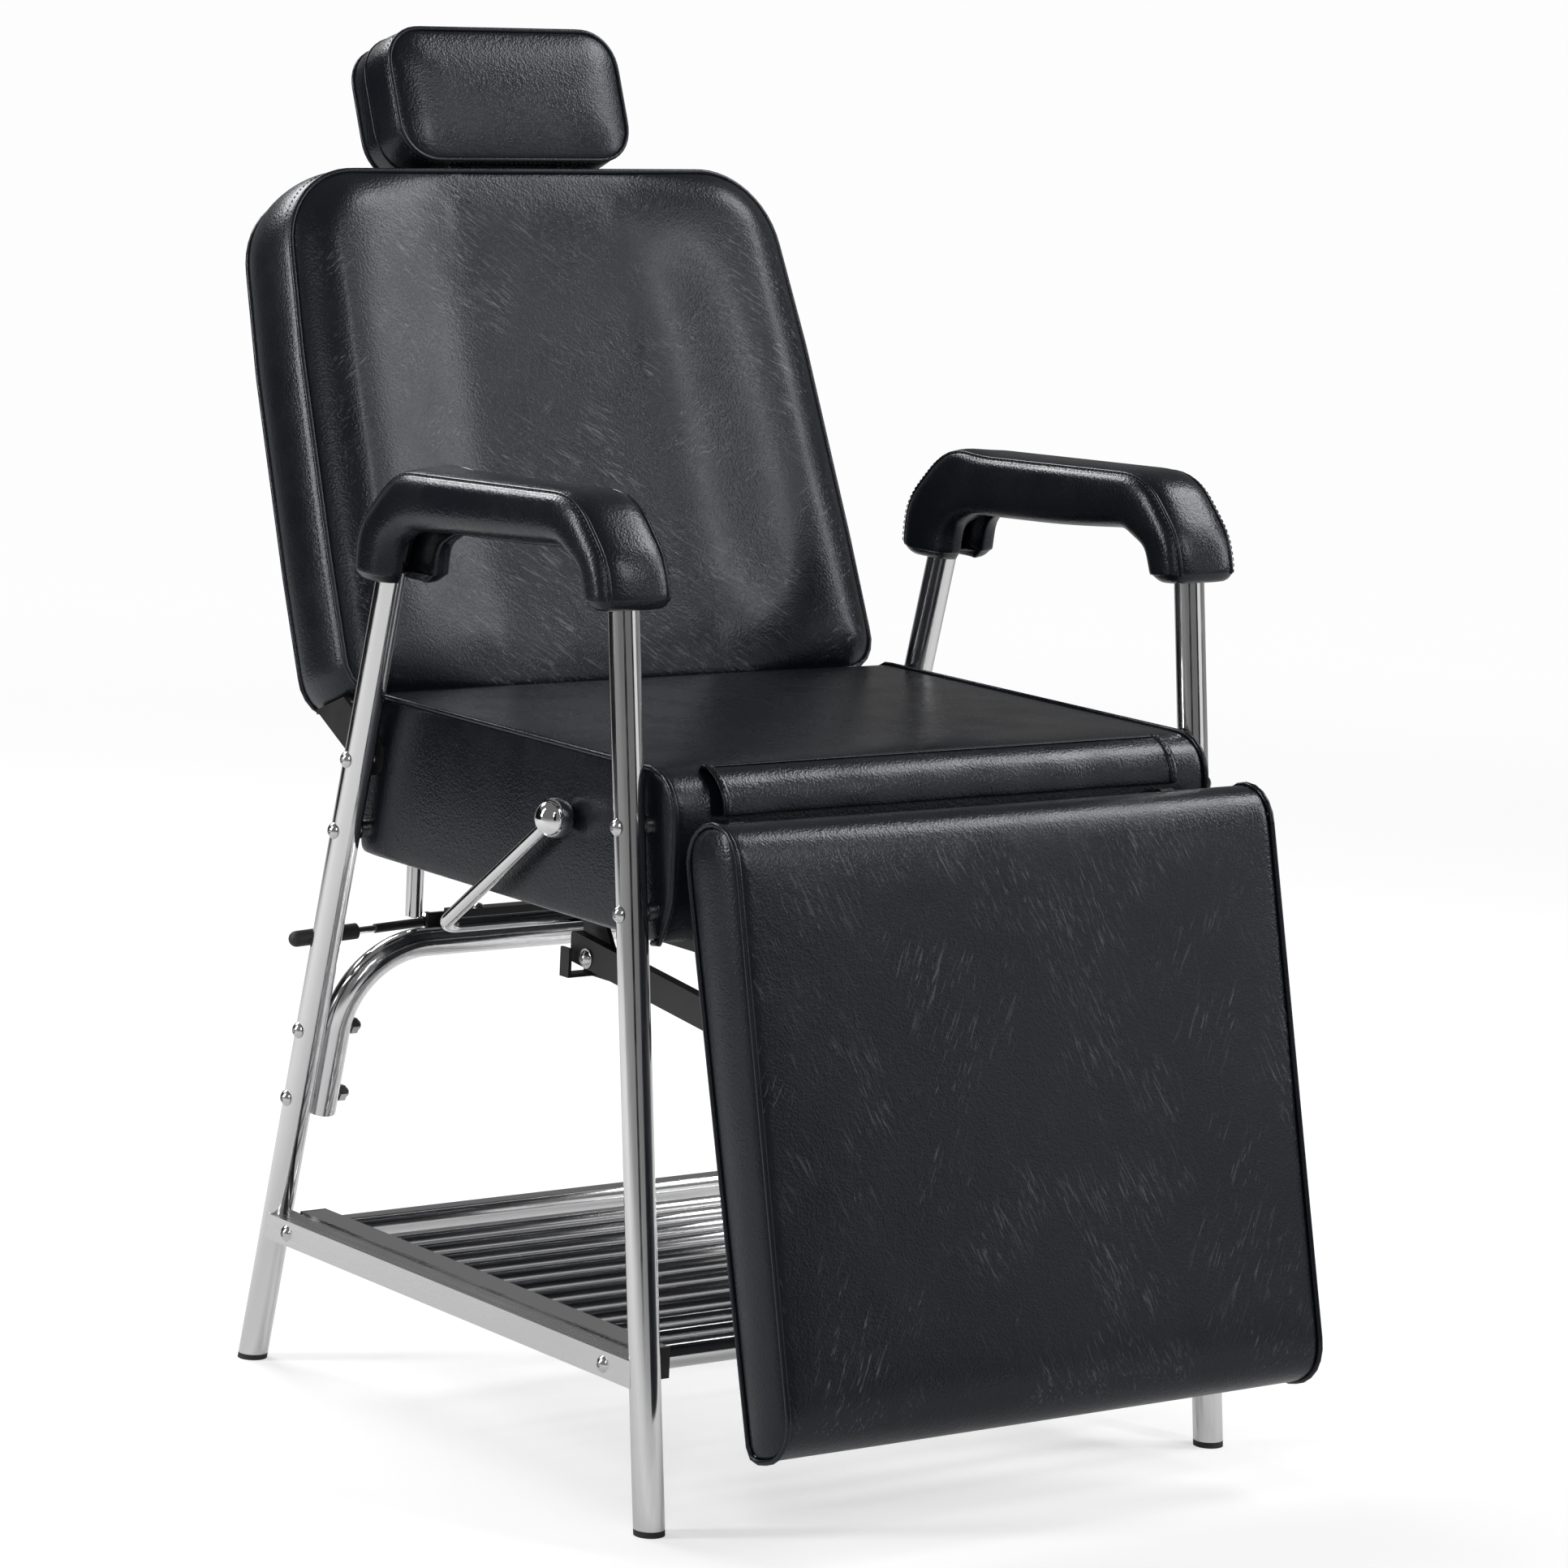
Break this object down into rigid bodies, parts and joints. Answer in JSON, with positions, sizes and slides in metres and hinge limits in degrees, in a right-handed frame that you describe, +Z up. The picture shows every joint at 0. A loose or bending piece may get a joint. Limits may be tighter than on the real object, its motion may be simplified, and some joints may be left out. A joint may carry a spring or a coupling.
{
  "type": "reclining salon chair",
  "caption": "Padded reclining salon chair on bent-tube legs, with armrests, sliding headrest, lever-raised leg rest and a barred shelf under the seat.",
  "frame": {"origin": "bottom centre of the chair's bounding box: on the floor, midway between the side frames and midway between the front of the leg rest and the rear of the headrest", "axes": "+Z up, -Y the way the sitter faces, +X towards the sitter's left; the hand lever is on the -X side"},
  "size_m": [0.6496, 0.9416, 1.143],
  "materials": {
    "leather": "glossy",
    "chrome": "mirror",
    "steel": "satin",
    "black_paint": "semi-gloss",
    "rubber": "matte",
    "black_plastic": "matte",
    "board": "matte"
  },
  "bodies": {
    "frame": {"side_frame_left": "chrome", "side_frame_right": "chrome", "foot_caps": "rubber", "stretcher_left": "chrome", "stretcher_right": "chrome", "tray_rail_left": "chrome", "tray_rail_right": "chrome", "tray_rail_caps": "black_plastic", "tray_bars": "chrome", "tray_end_bars": "chrome", "tray_bolts": "steel", "rear_brace": "chrome", "brace_bolts": "steel", "brace_nuts": "steel", "cross_bar": "black_paint", "cross_bar_bolts": "steel", "release_bracket": "black_paint", "seat_cushion": "leather", "seat_board": "board", "seat_bolts": "steel", "seat_spacers": "steel", "seat_flap": "leather", "back_pivot_bolts": "steel", "lever_hangers": "black_paint", "legrest_brackets": "black_paint", "gas_clamp": "black_paint", "gas_cylinder": "chrome", "armrest_left": "leather", "armrest_right": "leather"},
    "back": {"back_cushion": "leather", "back_panel": "board", "back_bolts": "steel", "hinge_plate_left": "black_paint", "hinge_plate_right": "black_paint", "headrest_sockets": "black_plastic", "gas_lug": "black_paint"},
    "headrest": {"headrest_cushion": "leather", "headrest_posts": "chrome"},
    "gas_spring_rod": {"gas_rod": "chrome", "gas_pin": "steel"},
    "release": {"release_rod": "black_paint", "release_eye": "chrome", "release_neck": "chrome", "release_grip": "rubber"},
    "lever": {"lever_rod": "chrome", "lever_ball": "chrome", "shaft_collars": "black_paint", "crank_left": "black_paint", "crank_right": "black_paint"},
    "links": {"link_left": "black_paint", "link_right": "black_paint", "link_bolts": "steel"},
    "legrest": {"legrest_cushion": "leather", "legrest_board": "board", "legrest_hinges": "black_paint", "legrest_pins": "steel", "link_lugs": "black_paint", "link_pins": "steel"}
  },
  "joints": [
    {"name": "legrest_raise", "type": "hinge", "parent": "frame", "child": "legrest", "pos_m": [0, -0.29362, 0.557], "axis": [-1, 0, 0], "range_deg": [0, 70]},
    {"name": "lever_turn", "type": "hinge", "parent": "frame", "child": "lever", "pos_m": [0, 0.01538, 0.43], "axis": [-1, 0, 0], "range_deg": [0, 70]},
    {"name": "link_swing", "type": "hinge", "parent": "lever", "child": "links", "pos_m": [0, -0.00622, 0.397], "axis": [-1, 0, 0], "range_deg": [-70, 0]},
    {"name": "back_recline", "type": "hinge", "parent": "frame", "child": "back", "pos_m": [0, 0.14973, 0.549], "axis": [-1, 0, 0], "range_deg": [0, 42]},
    {"name": "gas_rod_slide", "type": "slide", "parent": "frame", "child": "gas_spring_rod", "axis": [0, 0, -1], "range_m": [0, 0.04523]},
    {"name": "headrest_height", "type": "slide", "parent": "back", "child": "headrest", "axis": [0, 0.3811, 0.9245], "range_m": [0, 0.07]},
    {"name": "release_lift", "type": "hinge", "parent": "frame", "child": "release", "pos_m": [-0.172, 0.21238, 0.391], "axis": [0, 1, 0], "range_deg": [0, 6], "stiffness_Nm_per_rad": 8, "springref_deg": -8.59}
  ],
  "couplings": [
    {"joint": "lever_turn", "follows": "legrest_raise", "ratio": 1},
    {"joint": "link_swing", "follows": "legrest_raise", "ratio": -1},
    {"joint": "gas_rod_slide", "follows": "back_recline", "m_per_rad": 0.061423}
  ]
}
